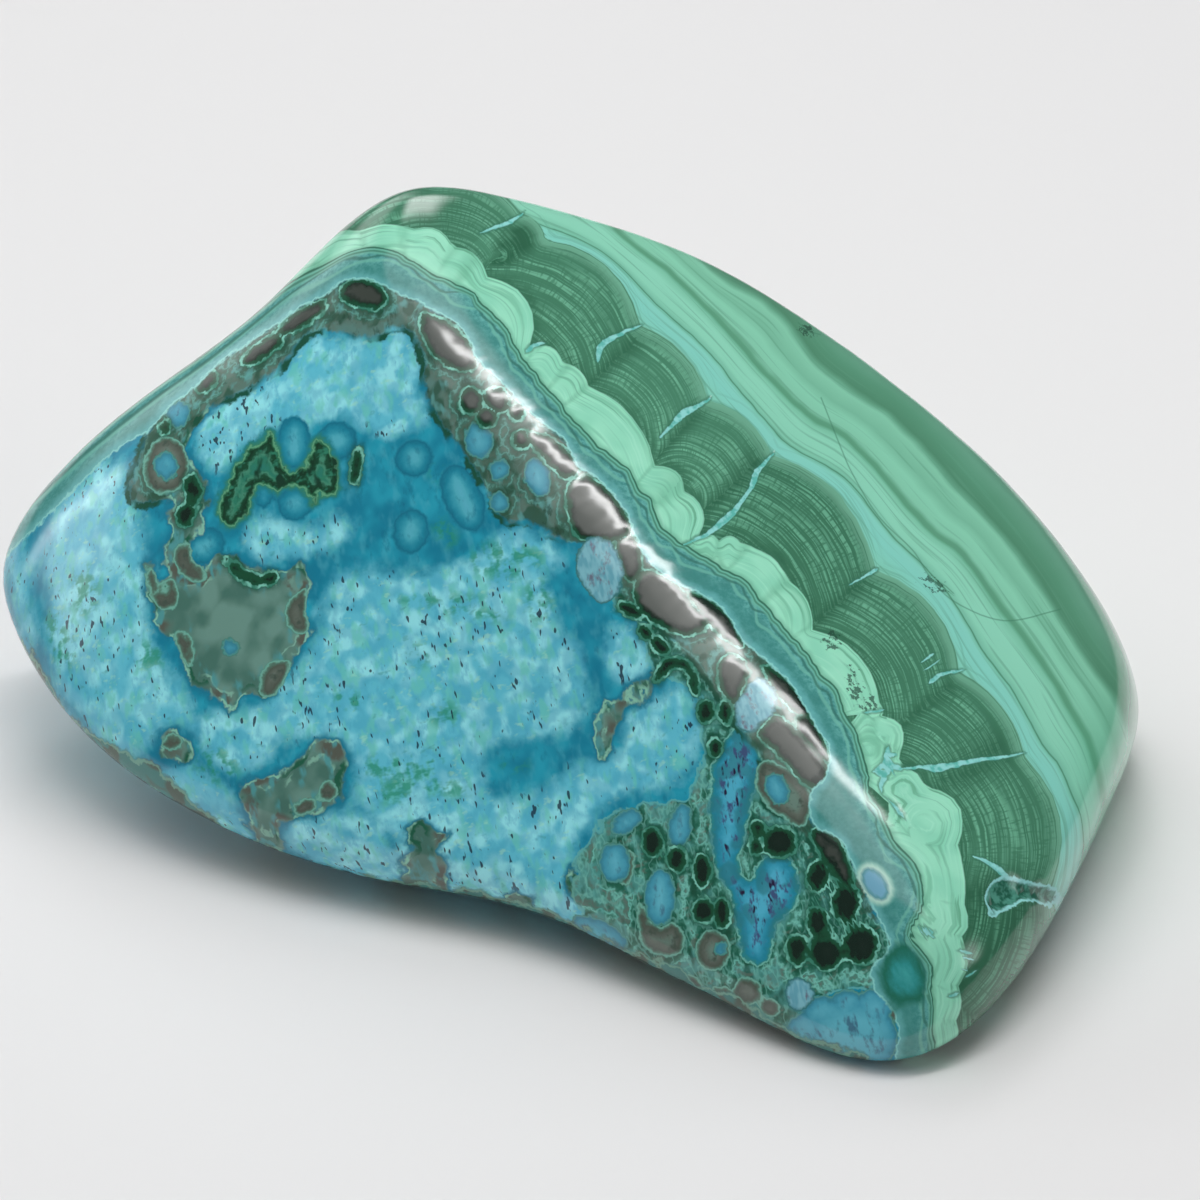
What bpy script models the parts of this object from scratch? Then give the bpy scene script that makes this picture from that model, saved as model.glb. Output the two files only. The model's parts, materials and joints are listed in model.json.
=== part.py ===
"""A hand-polished freeform of chrysocolla and malachite, about 100 mm long.

The stone is one solid piece. It was ground on a dozen broad faces and then polished until they ran
into each other, so its surface is the rounded meeting of those faces: each is given by the way it
looks and by its distance from one point deep in the stone. Shallow hollows are left where the rough
stone was hollow, and the base is cut flat, so that the stone stands on it.

The front is the blue chrysocolla face, the face above it is banded malachite, and the crisp ridge
between them falls from the peak at the left to the corner at the lower right.
"""

import math

import bmesh
import bpy
import numpy as np

MM = 0.001

# The point deep in the stone, in millimetres over the middle of the base
CENTRE = (6.3, 6.7, 21.5)

# Ground faces: azimuth and elevation of the way they look in degrees, distance in millimetres.
# Azimuth 0 is the front, 90 the right end, 180 the back; elevation 90 is straight up.
RIDGE_FACES = {
    "chrysocolla": (0, 37, 21.0),
    "malachite": (71, 62, 14.0),
}
BODY_FACES = {
    "left shoulder": (-53, 54, 35.0),
    "left front": (-28, 30, 36.5),
    "nose": (-100, 4, 57.0),
    "left end": (-137, 9, 29.5),
    "upper back": (-164, 30, 25.5),
    "back": (174, 11, 21.0),
    "far corner": (132, 30, 28.5),
    "right end": (95, 6, 42.5),
    "near corner": (57, 13, 51.0),
    "front foot": (-9, -40, 41.0),
    "left foot": (-101, -71, 26.0),
    "right foot": (97, -32, 46.0),
    "base": (0, -90, 22.0),
}

# How crisply neighbouring faces meet: the higher, the smaller the rounding between them
RIDGE_CRISPNESS = 16
BODY_CRISPNESS = 12

# Hollows: azimuth, elevation and half width in degrees, depth in millimetres; a swell has a depth below 0
HOLLOWS = {
    "over the foot": (5, -26, 24, 3.5),
    "left shoulder": (-83, 20, 18, 2.5),
    "near foot swell": (41, -23, 7, -1.5),
}

# Splits of the starting ball, and its stretch along each axis, so that its points come out evenly spaced
BALL_SPLITS = 5
BALL_STRETCH = (1.8, 1.15, 0.8)

SMOOTH_BELOW = math.radians(35)
STONE_COLOUR = (0.10, 0.42, 0.45, 1.0)
STONE_ROUGHNESS = 0.15


def facing(azimuth, elevation):
    """The outward direction of a face, as a unit vector."""
    turn, rise = math.radians(azimuth), math.radians(elevation)
    level = math.cos(rise)
    return np.array([math.sin(turn) * level, -math.cos(turn) * level, math.sin(rise)])


def hold(directions, faces, crispness):
    """One over the distance at which the rounded meeting of these faces lies, each way out."""
    total = np.zeros(len(directions))
    for azimuth, elevation, distance in faces.values():
        towards = np.maximum(directions @ facing(azimuth, elevation), 0.0)
        total += (towards / distance) ** crispness
    return total ** (1 / crispness)


def hollow_depth(directions):
    """How far the hollows take the surface in, in millimetres, each way out."""
    depth = np.zeros(len(directions))
    for azimuth, elevation, half_width, deepest in HOLLOWS.values():
        away = 1 - directions @ facing(azimuth, elevation)
        edge = 1 - math.cos(math.radians(half_width))
        depth += deepest * np.exp(-away / edge)
    return depth


def reach(directions):
    """The distance from the centre to the polished surface, in millimetres, each way out."""
    ridge = hold(directions, RIDGE_FACES, RIDGE_CRISPNESS)
    body = hold(directions, BODY_FACES, BODY_CRISPNESS)
    both = ridge**BODY_CRISPNESS + body**BODY_CRISPNESS
    return both ** (-1 / BODY_CRISPNESS) - hollow_depth(directions)


def cut_flat_base(shape):
    """Cuts the stone off at the table and closes the cut with one flat face."""
    everything = shape.verts[:] + shape.edges[:] + shape.faces[:]
    bmesh.ops.bisect_plane(
        shape,
        geom=everything,
        dist=1e-6,
        plane_co=(0, 0, 0),
        plane_no=(0, 0, 1),
        clear_inner=True,
    )
    rim = [edge for edge in shape.edges if edge.is_boundary]
    for edge in rim:
        for corner in edge.verts:
            corner.co.z = 0
    bmesh.ops.holes_fill(shape, edges=rim, sides=0)


def polished_stone():
    """The stone's mesh in metres: an oval ball whose points are moved out to the polished surface."""
    shape = bmesh.new()
    bmesh.ops.create_icosphere(shape, subdivisions=BALL_SPLITS, radius=1)
    bmesh.ops.scale(shape, vec=BALL_STRETCH, verts=shape.verts)
    directions = np.array([corner.co.normalized() for corner in shape.verts])
    surface = np.array(CENTRE) + directions * reach(directions)[:, None]
    for corner, place in zip(shape.verts, surface * MM):
        corner.co = place
    cut_flat_base(shape)
    bmesh.ops.recalc_face_normals(shape, faces=shape.faces)
    mesh = bpy.data.meshes.new("polished_stone")
    shape.to_mesh(mesh)
    shape.free()
    mesh.shade_smooth()
    mesh.set_sharp_from_angle(angle=SMOOTH_BELOW)
    return mesh


def stone_material():
    """Polished stone: blue-green, glossy and not metallic."""
    material = bpy.data.materials.new("polished chrysocolla and malachite")
    material.use_nodes = True
    shader = material.node_tree.nodes["Principled BSDF"]
    shader.inputs["Base Color"].default_value = STONE_COLOUR
    shader.inputs["Roughness"].default_value = STONE_ROUGHNESS
    shader.inputs["Metallic"].default_value = 0
    material.diffuse_color = STONE_COLOUR
    return material


def clear_scene():
    for thing in list(bpy.data.objects):
        bpy.data.objects.remove(thing)


clear_scene()
specimen = bpy.data.collections.new("chrysocolla specimen")
bpy.context.scene.collection.children.link(specimen)
stone = bpy.data.objects.new("polished_stone", polished_stone())
stone.data.materials.append(stone_material())
specimen.objects.link(stone)
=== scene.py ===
import json
import math

import bmesh
import bpy
import numpy as np
from mathutils import Matrix, Vector, noise

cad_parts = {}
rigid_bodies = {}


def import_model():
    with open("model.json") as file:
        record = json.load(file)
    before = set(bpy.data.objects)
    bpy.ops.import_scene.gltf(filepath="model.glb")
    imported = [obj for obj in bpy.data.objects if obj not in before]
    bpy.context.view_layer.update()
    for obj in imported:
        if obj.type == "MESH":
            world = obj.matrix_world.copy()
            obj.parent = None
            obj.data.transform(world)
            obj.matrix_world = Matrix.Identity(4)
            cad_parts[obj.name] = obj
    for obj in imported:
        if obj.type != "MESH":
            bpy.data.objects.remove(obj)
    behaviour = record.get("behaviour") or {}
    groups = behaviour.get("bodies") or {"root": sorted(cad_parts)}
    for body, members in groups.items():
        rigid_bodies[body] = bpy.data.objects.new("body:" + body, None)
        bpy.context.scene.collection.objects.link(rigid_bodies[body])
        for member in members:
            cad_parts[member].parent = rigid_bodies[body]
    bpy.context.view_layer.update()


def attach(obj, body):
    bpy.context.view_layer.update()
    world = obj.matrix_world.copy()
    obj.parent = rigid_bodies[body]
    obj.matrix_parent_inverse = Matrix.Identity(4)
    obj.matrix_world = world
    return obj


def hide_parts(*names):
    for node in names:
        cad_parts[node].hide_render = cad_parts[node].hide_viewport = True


for thing in list(bpy.data.objects):
    bpy.data.objects.remove(thing)
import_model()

# The photograph's view
# A long lens looks down on the stone from its front, a little from the right. The marks in the stone
# are laid out by where they show in this view, so the camera comes first.
MM = 0.001
VIEW_AZIMUTH = 24
VIEW_ELEVATION = 31
VIEW_DISTANCE = 520
VIEW_TARGET = np.array((2.11, 1.90, 17.03))
LENS = 179.4
SENSOR = 36
PHOTO_SIDE = 1200


def facing(azimuth, elevation):
    """The unit vector that looks out at this azimuth and elevation: 0 is the front, 90 the right end."""
    turn, rise = math.radians(azimuth), math.radians(elevation)
    level = math.cos(rise)
    return np.array([math.sin(turn) * level, -math.cos(turn) * level, math.sin(rise)])


to_camera = facing(VIEW_AZIMUTH, VIEW_ELEVATION)
eye = VIEW_TARGET + to_camera * VIEW_DISTANCE
view_right = facing(VIEW_AZIMUTH + 90, 0)
view_up = np.cross(to_camera, view_right)

camera = bpy.data.objects.new("camera", bpy.data.cameras.new("camera"))
bpy.context.scene.collection.objects.link(camera)
camera.data.lens = LENS
camera.data.sensor_width = SENSOR
camera.data.clip_start = 0.01
camera.data.clip_end = 20
camera.location = eye * MM
camera.rotation_euler = Vector(-to_camera).to_track_quat("-Z", "Y").to_euler()
bpy.context.scene.camera = camera


def in_photo(places):
    """Where points of the row frame, in millimetres, show in the photograph, in its pixels."""
    reach_out = places - eye
    depth = -(reach_out @ to_camera)
    scale = PHOTO_SIDE * LENS / SENSOR / depth
    across = PHOTO_SIDE / 2 + scale * (reach_out @ view_right)
    down = PHOTO_SIDE / 2 - scale * (reach_out @ view_up)
    return np.stack([across, down], axis=1)


# The stone's polished surface
# One lump of chrysocolla and malachite, ground on broad faces by hand and polished until they run into
# each other. Each face is given by the way it looks and its distance from a point deep in the stone.
CENTRE = np.array((6.3, 6.7, 21.5))
RIDGE_FACES = {
    "chrysocolla": (0, 37, 21.0),
    "malachite": (71, 62, 14.0),
}
BODY_FACES = {
    "left shoulder": (-53, 54, 35.0),
    "left front": (-28, 30, 36.5),
    "nose": (-100, 4, 57.0),
    "left end": (-137, 9, 29.5),
    "upper back": (-164, 30, 25.5),
    "back": (174, 11, 21.0),
    "far corner": (132, 30, 28.5),
    "right end": (95, 6, 42.5),
    "near corner": (57, 13, 51.0),
    "front foot": (-9, -40, 41.0),
    "left foot": (-101, -71, 26.0),
    "right foot": (97, -32, 46.0),
    "base": (0, -90, 22.0),
}
RIDGE_CRISPNESS = 16
BODY_CRISPNESS = 12
HOLLOWS = {
    "over the foot": (5, -26, 24, 3.5),
    "left shoulder": (-83, 20, 18, 2.5),
    "near foot swell": (41, -23, 7, -1.5),
}

# Squares along each edge of the six-sided grid, and how far its points crowd towards the camera's side
GRID = 128
CROWDING = 0.58


def hold(directions, faces, crispness):
    """One over the distance at which the rounded meeting of these faces lies, each way out."""
    total = np.zeros(len(directions))
    for azimuth, elevation, distance in faces.values():
        towards = np.maximum(directions @ facing(azimuth, elevation), 0.0)
        total += (towards / distance) ** crispness
    return total ** (1 / crispness)


def hollow_depth(directions):
    """How far the hollows take the surface in, in millimetres, each way out."""
    depth = np.zeros(len(directions))
    for azimuth, elevation, half_width, deepest in HOLLOWS.values():
        away = 1 - directions @ facing(azimuth, elevation)
        edge = 1 - math.cos(math.radians(half_width))
        depth += deepest * np.exp(-away / edge)
    return depth


def reach(directions):
    """The distance from the centre to the polished surface, in millimetres, each way out."""
    ridge = hold(directions, RIDGE_FACES, RIDGE_CRISPNESS)
    body = hold(directions, BODY_FACES, BODY_CRISPNESS)
    both = ridge**BODY_CRISPNESS + body**BODY_CRISPNESS
    return both ** (-1 / BODY_CRISPNESS) - hollow_depth(directions)


def read_points(mesh, what="co"):
    """The places or the normals of a mesh's points, one row each."""
    flat = np.empty(len(mesh.vertices) * 3, np.float32)
    mesh.vertices.foreach_get(what, flat)
    return flat.reshape(-1, 3).astype(float)


grid = bmesh.new()
bmesh.ops.create_cube(grid, size=2)
bmesh.ops.subdivide_edges(grid, edges=grid.edges[:], cuts=GRID - 1, use_grid_fill=True)
surface = bpy.data.meshes.new("polished_stone_surface")
grid.to_mesh(surface)
grid.free()

even = np.tan(read_points(surface) * math.pi / 4)
ways = even / np.linalg.norm(even, axis=1, keepdims=True)
ways = ways + CROWDING * to_camera
ways /= np.linalg.norm(ways, axis=1, keepdims=True)
skin = CENTRE + ways * reach(ways)[:, None]
below = skin[:, 2] < 0
skin[below] = CENTRE + (skin[below] - CENTRE) * (CENTRE[2] / (CENTRE[2] - skin[below, 2]))[:, None]
skin[below, 2] = 0
surface.vertices.foreach_set("co", (skin * MM).ravel())
surface.update()
outward = read_points(surface, "normal")

# The marks in the stone
# The layers grew outwards from the chrysocolla: first a thin wavy seam, then mint malachite in lobes,
# dark malachite in fans, and even bands. Outlines are in the photograph's pixels, clockwise in its view.


def smooth(low, high, values):
    """0 where the values are at low, 1 where they are at high, and smooth between."""
    share = np.clip((values - low) / (high - low), 0, 1)
    return share * share * (3 - 2 * share)


def flowing(line, closed=False, steps=4):
    """The traced points joined by one smooth curve that passes through each of them."""
    spots = np.array(line, float)
    if closed:
        spots = np.concatenate([spots[-1:], spots, spots[:2]])
    else:
        spots = np.concatenate([2 * spots[:1] - spots[1:2], spots, 2 * spots[-1:] - spots[-2:-1]])
    curve = []
    for before, start, end, after in zip(spots, spots[1:], spots[2:], spots[3:]):
        for t in np.arange(steps) / steps:
            bend = 2 * before - 5 * start + 4 * end - after
            twist = -before + 3 * start - 3 * end + after
            curve.append(start + 0.5 * t * ((end - before) + t * (bend + t * twist)))
    if not closed:
        curve.append(spots[-2])
    return np.array(curve)


def scalloped(cusps, steps=6):
    """Arcs from cusp to cusp: each cusp is (across, down, how far the next arc swells outwards)."""
    edge = []
    for (u, v, swell), (next_u, next_v, _) in zip(cusps, cusps[1:]):
        length = math.hypot(next_u - u, next_v - v)
        out_u, out_v = (next_v - v) / length, -(next_u - u) / length
        for t in np.arange(steps) / steps:
            rise = 4 * swell * t * (1 - t)
            edge.append((u + (next_u - u) * t + out_u * rise, v + (next_v - v) * t + out_v * rise))
    edge.append(cusps[-1][:2])
    return np.array(edge)


def away_from(spots, line, closed=False):
    """The distance in pixels to a line of straight runs, how many runs along, and how far to its side."""
    ends = np.concatenate([line, line[:1]]) if closed else line
    best = np.full(len(spots), np.inf)
    along = np.zeros(len(spots))
    side = np.zeros(len(spots))
    for index, (start, end) in enumerate(zip(ends[:, :2], ends[1:, :2])):
        run = end - start
        offset = spots - start
        share = np.clip((offset @ run) / (run @ run), 0, 1)
        gap = np.hypot(*(offset - share[:, None] * run).T)
        closer = gap < best
        along[closer] = (index + share)[closer]
        side[closer] = (offset[:, 1] * run[0] - offset[:, 0] * run[1])[closer] / math.hypot(*run)
        best = np.minimum(best, gap)
    return best, along, side


def within(spots, outline):
    """Which points lie inside a closed outline."""
    inside = np.zeros(len(spots), bool)
    for (u, v), (next_u, next_v) in zip(outline, np.roll(outline, -1, axis=0)):
        spans = (v > spots[:, 1]) != (next_v > spots[:, 1])
        crossing = u + (spots[:, 1] - v) * (next_u - u) / (next_v - v if next_v != v else 1)
        inside ^= spans & (spots[:, 0] < crossing)
    return inside


def depth_inside(spots, outline):
    """How deep each point lies inside a smooth closed outline, in pixels, and below 0 outside it."""
    curve = flowing(outline, closed=True)
    gap = away_from(spots, curve, closed=True)[0]
    return np.where(within(spots, curve), gap, -gap)


def deepest(spots, outlines):
    """How deep each point lies inside the nearest of some outlines."""
    return np.max([depth_inside(spots, outline) for outline in outlines], axis=0)


def deepest_oval(spots, ovals):
    """How deep each point lies inside the nearest of some ovals: (across, down, half sizes, tilt)."""
    best = np.full(len(spots), -np.inf)
    for u, v, half_length, half_width, tilt in ovals:
        turn = math.radians(tilt)
        gap = spots - (u, v)
        along = gap @ (math.cos(turn), math.sin(turn))
        across = gap @ (-math.sin(turn), math.cos(turn))
        share = np.hypot(along / half_length, across / half_width) + 1e-6
        slope = np.hypot(along / half_length**2, across / half_width**2) + 1e-6
        best = np.maximum(best, share * (1 - share) / slope)
    return best


def along_lines(spots, lines):
    """By the nearest of some smooth lines: the distance, side, distance past its end and half width."""
    best = np.full(len(spots), np.inf)
    found = np.zeros((4, len(spots)))
    for line in lines:
        curve = flowing(line)
        gap, along, side = away_from(spots, curve)
        width = np.interp(along, np.arange(len(curve)), curve[:, 2])
        closer = gap < best
        found[:, closer] = np.stack([gap, side, gap - np.abs(side), width])[:, closer]
        best = np.minimum(best, gap)
    return found


OUTER_CORNERS = np.array([(960, 1600), (1600, 1600), (1600, -500), (-500, -500)], float)


def beyond(spots, line):
    """The distance past an edge of the growth, below 0 on the chrysocolla's side, and the runs along it."""
    gap, along, _ = away_from(spots, line)
    outer_side = within(spots, np.concatenate([line, OUTER_CORNERS]))
    return np.where(outer_side, gap, -gap), along


# The centre of an arc's layers lies this share of its length inside it, or in a rounder arc at its own centre
CORE_SHARE = 1.15
ROUND_ARC = 0.285

# Keeps the fine lines of one arc from running on into the next, in pixels
ARC_STEP = 97


def nested(spots, cusps, steps=6):
    """Growth in round layers inside each arc of a scalloped edge, about a centre deep inside it.

    Gives the distance past the edge, the way round the arc, how far off the meeting with the next arc
    is, all in pixels, and the number of the arc.
    """
    past, along = beyond(spots, scalloped(cusps, steps))
    starts = np.array(cusps, float)
    chords = starts[1:, :2] - starts[:-1, :2]
    lengths = np.hypot(*chords.T)
    swells = starts[:-1, 2]
    own_radii = (lengths**2 / 4 + swells**2) / (2 * swells)
    radii = np.where(swells > ROUND_ARC * lengths, own_radii, CORE_SHARE * lengths + swells)
    out = np.stack([chords[:, 1], -chords[:, 0]], axis=1) / lengths[:, None]
    centres = (starts[1:, :2] + starts[:-1, :2]) / 2 - out * (radii - swells)[:, None]
    best = np.full(len(spots), np.inf)
    second = np.full(len(spots), np.inf)
    round_arc = np.zeros(len(spots))
    chosen = np.zeros(len(spots), int)
    for step in (-1, 0, 1):
        arc = np.clip(along.astype(int) // steps + step, 0, len(radii) - 1)
        offset = spots - centres[arc]
        value = np.hypot(*offset.T) - radii[arc]
        better = value < best
        second = np.where(better, best, np.minimum(second, value))
        angle = np.arctan2(
            out[arc, 0] * offset[:, 1] - out[arc, 1] * offset[:, 0],
            np.einsum("ij,ij->i", out[arc], offset),
        )
        round_arc = np.where(better, angle * radii[arc] + arc * ARC_STEP, round_arc)
        chosen = np.where(better, arc, chosen)
        best = np.minimum(best, value)
    inner = smooth(3, 30, -past)
    return past + (best - past) * inner, round_arc, second - best, chosen


MALACHITE_EDGE = [
    (-80, 590), (20, 500), (80, 445), (140, 396), (200, 352), (245, 316), (285, 285), (323, 263),
    (352, 250), (384, 247), (410, 258), (434, 274), (468, 289), (492, 311), (509, 330), (518, 350),
    (545, 384), (568, 412), (590, 436), (618, 460), (632, 476), (647, 494), (657, 515), (668, 532),
    (690, 548), (720, 565), (745, 580), (765, 603), (785, 628), (805, 651), (822, 672), (838, 692),
    (845, 712), (857, 732), (864, 753), (868, 775), (874, 795), (886, 822), (896, 843), (907, 853),
    (917, 866), (923, 882), (924, 897), (922, 912), (914, 925), (912, 936), (921, 948), (931, 959),
    (934, 974), (933, 1000), (935, 1025), (938, 1080), (945, 1200),
]
LOBE_CUSPS = [
    (-80, 560, 4), (80, 425, 4), (200, 330, 5), (255, 285, 5), (312, 247, 6), (361, 231, 6), (415, 229, 9),
    (453, 247, 9), (487, 277, 22), (530, 347, 9), (563, 363, 6), (588, 386, 14), (655, 466, 9),
    (685, 491, 12), (698, 537, 5), (719, 541, 6), (740, 543, 8), (790, 582, 8), (812, 630, 18),
    (880, 706, 3), (881, 716, 13), (900, 751, 3), (889, 774, 12), (925, 786, 21), (957, 847, 4),
    (964, 908, 7), (960, 938, 9), (958, 985, 5), (956, 1020, 5), (950, 1080, 5), (960, 1200, 5),
]
FAN_CUSPS = [
    (-80, 520, 4), (110, 360, 6), (250, 255, 8), (345, 205, 14), (440, 178, 14), (520, 211, 6),
    (545, 240, 22), (641, 325, 13), (709, 400, 10), (772, 454, 23), (876, 570, 20), (960, 672, 13),
    (1025, 757, 22), (1052, 887, 20), (1010, 1020, 12), (970, 1120, 8), (975, 1200, 5),
]
FAN_TONES = (0.5, 0.5, 0.55, 0.7, 0.95, 0.2, 0.65, 0.8, 0.75, 0.45, 0.6, 0.6, 0.6, 0.15, 0.1, 0.1, 0.1)
BAND_EDGES = [
    [
        (-80, 470), (150, 300), (330, 175), (440, 168), (514, 213), (545, 226), (587, 242), (618, 263),
        (656, 303), (703, 345), (734, 383), (765, 418), (791, 445), (837, 471), (864, 498), (891, 533),
        (925, 567), (952, 598), (983, 650), (1013, 690), (1040, 738), (1059, 764), (1078, 806), (1084, 838),
        (1081, 875), (1072, 905), (1055, 950), (1030, 1000), (1010, 1060), (1000, 1200),
    ],
    [
        (-80, 430), (150, 260), (330, 120), (540, 170), (623, 236), (680, 281), (726, 330), (765, 372),
        (807, 414), (845, 437), (876, 468), (925, 525), (964, 556), (1002, 609), (1040, 659), (1071, 709),
        (1092, 750), (1103, 800), (1105, 840), (1095, 890), (1080, 950), (1060, 1010), (1040, 1200),
    ],
    [
        (-80, 390), (150, 210), (330, 60), (560, 130), (650, 210), (711, 268), (753, 292), (784, 315),
        (814, 357), (845, 383), (891, 414), (929, 452), (967, 494), (1006, 536), (1040, 582), (1078, 644),
        (1113, 693), (1134, 740), (1142, 800), (1135, 870), (1115, 950), (1090, 1020), (1070, 1200),
    ],
]
BAND_GROWTH = (0, 190, 240, 290)

# The light cyan edge between the seam's teal inner band and the beads on the ridge
BEAD_EDGE = [
    (-80, 640), (60, 505), (110, 455), (150, 430), (168, 408), (195, 388), (214, 368), (245, 346),
    (275, 326), (300, 308), (325, 296), (341, 283), (363, 279), (384, 286), (397, 294), (417, 301),
    (432, 311), (455, 322), (470, 341), (477, 360), (499, 380), (512, 395), (535, 418), (562, 438),
    (576, 464), (594, 477), (608, 489), (623, 508), (631, 526), (642, 552), (656, 570), (682, 587),
    (700, 594), (715, 603), (729, 618), (741, 639), (767, 662), (786, 679), (799, 698), (814, 723),
    (826, 744), (829, 762), (824, 778), (811, 792), (809, 815), (818, 829), (838, 838), (848, 853),
    (854, 874), (865, 892), (873, 910), (882, 925), (890, 942), (885, 955), (871, 968), (874, 990),
    (890, 1008), (898, 1028), (896, 1050), (892, 1080), (890, 1200),
]
RIDGE_ZONE = [
    (130, 500), (140, 455), (168, 405), (214, 365), (275, 323), (325, 293), (363, 277), (417, 299),
    (470, 340), (512, 393), (562, 437), (608, 488), (642, 552), (682, 587), (729, 618), (786, 679),
    (826, 744), (829, 765), (809, 795), (815, 826), (848, 853), (865, 892), (880, 925), (868, 915),
    (850, 892), (825, 858), (804, 834), (780, 812), (764, 799), (768, 772), (745, 735), (719, 694),
    (694, 660), (661, 627), (630, 602), (612, 570), (590, 549), (560, 538), (531, 522), (503, 520),
    (491, 498), (475, 470), (455, 440), (435, 414), (425, 385), (424, 358), (412, 334), (395, 326),
    (372, 337), (325, 330), (302, 337), (283, 364), (248, 388), (205, 410), (188, 430), (180, 455),
    (186, 480), (160, 500),
]
NET_ZONE = [
    (618, 585), (661, 627), (694, 660), (719, 694), (745, 735), (768, 772), (764, 799), (780, 812),
    (804, 834), (850, 892), (880, 925), (890, 942), (885, 955), (871, 968), (874, 990), (850, 985),
    (800, 1003), (780, 1050), (730, 1040), (680, 1010), (620, 975), (592, 940), (578, 890), (590, 850),
    (612, 818), (650, 806), (685, 802), (702, 775), (708, 740), (702, 705), (690, 680), (665, 672),
    (650, 660), (652, 630), (634, 612), (612, 600),
]
FOOT_EDGE = [
    (8, 640), (45, 690), (62, 727), (90, 745), (122, 760), (160, 788), (200, 818), (221, 840), (245, 852),
    (280, 867), (340, 884), (420, 893), (480, 902), (540, 920), (600, 946), (680, 984), (740, 1014),
    (800, 1044), (860, 1064),
]

PALE_CELLS = [
    [
        (190, 430), (200, 417), (232, 398), (260, 382), (283, 366), (302, 340), (325, 333), (363, 340),
        (386, 333), (402, 328), (415, 343), (422, 366), (422, 395), (428, 418), (410, 432), (385, 436),
        (362, 426), (340, 418), (318, 424), (300, 432), (285, 426), (262, 430), (246, 448), (237, 462),
        (222, 470), (203, 460),
    ],
    [
        (240, 537), (260, 518), (306, 524), (340, 518), (357, 524), (345, 543), (320, 556), (280, 558),
        (252, 553),
    ],
    [
        (345, 570), (400, 572), (440, 566), (480, 549), (514, 529), (545, 534), (558, 558), (546, 576),
        (549, 603), (564, 634), (583, 664), (590, 695), (583, 718), (560, 735), (530, 740), (499, 745),
        (482, 764), (484, 785), (507, 796), (545, 792), (568, 770), (598, 758), (616, 750), (624, 720),
        (636, 702), (664, 690), (680, 684), (693, 697), (699, 733), (693, 766), (667, 786), (625, 796),
        (598, 817), (580, 840), (568, 867), (576, 895), (606, 925), (590, 960), (520, 925), (470, 910),
        (440, 900), (400, 900), (385, 880), (395, 850), (372, 825), (356, 800), (354, 762), (335, 735),
        (300, 740), (270, 755), (240, 772), (212, 762), (195, 742), (200, 715), (235, 712), (262, 702),
        (290, 675), (312, 643), (322, 610), (330, 585),
    ],
    [
        (157, 775), (172, 764), (199, 766), (230, 789), (249, 816), (258, 840), (235, 860), (190, 830),
        (168, 800),
    ],
    [(284, 832), (306, 818), (344, 808), (380, 818), (400, 848), (398, 885), (340, 885), (300, 855)],
    [
        (58, 505), (75, 478), (105, 463), (128, 472), (142, 505), (150, 560), (150, 620), (165, 660),
        (188, 700), (193, 728), (165, 728), (145, 752), (112, 750), (80, 718), (58, 680), (50, 640),
        (48, 590), (50, 545),
    ],
    [(8, 560), (20, 540), (32, 590), (38, 640), (30, 650), (14, 610)],
    [(610, 630), (628, 626), (644, 640), (650, 662), (640, 678), (620, 682), (606, 668), (603, 648)],
]
GREEN_STAINS = [
    (505, 560, 36, 17, 0), (406, 768, 44, 14, 0), (420, 786, 40, 8, 0), (444, 714, 14, 12, 0),
    (395, 795, 16, 8, 0), (420, 655, 14, 10, 0), (350, 700, 18, 8, 20), (538, 600, 14, 20, 0),
    (60, 640, 12, 30, -15), (85, 590, 14, 24, 0), (150, 655, 16, 12, 0), (215, 765, 24, 16, 30),
    (440, 600, 40, 5, 0), (470, 612, 36, 5, 10), (455, 790, 12, 6, 0), (515, 765, 12, 7, 0),
    (445, 532, 9, 16, -35), (437, 474, 6, 14, -35),
]
BLUE_LENS = [
    (740, 731), (728, 741), (717, 764), (713, 794), (715, 833), (719, 868), (731, 890), (741, 924),
    (744, 950), (755, 961), (767, 955), (771, 925), (790, 909), (796, 888), (790, 864), (776, 856),
    (765, 862), (754, 882), (742, 880), (735, 862), (742, 836), (748, 800), (759, 768), (755, 750),
]
BLUE_CELLS = [
    (479, 440, 12, 16, -10), (499, 470, 8, 8, 0), (538, 477, 11, 17, -15), (499, 502, 7, 8, 0),
    (660, 897, 13, 26, 0), (615, 863, 13, 18, 0), (598, 935, 28, 13, 25), (721, 948, 4, 5, 0),
    (777, 789, 9, 14, -20), (797, 996, 10, 10, 0), (231, 647, 7, 6, 0), (626, 822, 14, 8, -30),
    (680, 826, 9, 20, 10), (853, 1038, 43, 34, 0), (822, 1012, 18, 13, -20), (874, 1007, 17, 15, 10),
    (848, 1003, 14, 12, 0), (806, 1032, 18, 17, 0), (166, 466, 9, 12, -15), (178, 414, 10, 11, 0),
]
DEEP_CELLS = [
    (414, 458, 16, 17, 20), (463, 498, 17, 33, -22), (411, 531, 16, 20, 8), (204, 546, 19, 16, -30),
    (263, 495, 9, 10, 0), (295, 503, 16, 15, 0), (294, 443, 15, 24, 0), (337, 441, 18, 17, 0),
    (253, 459, 8, 8, 0), (197, 605, 4, 6, 0),
]
CLEAR_PATCH = [(350, 376, 85, 50, -15)]
SEAM_POOL = [(904, 975, 28, 31, 0)]
SEAM_CELL = [(875, 884, 10, 17, -35)]
MAUVE_CELLS = [
    [
        (584, 542), (594, 538), (607, 542), (617, 554), (622, 571), (620, 586), (613, 598), (601, 602),
        (589, 592), (579, 577), (577, 560),
    ],
    [
        (737, 708), (745, 692), (757, 678), (768, 684), (776, 696), (774, 710), (763, 722), (750, 733),
        (739, 726),
    ],
    [(788, 984), (800, 979), (812, 988), (811, 1002), (800, 1010), (788, 1003)],
]
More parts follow.
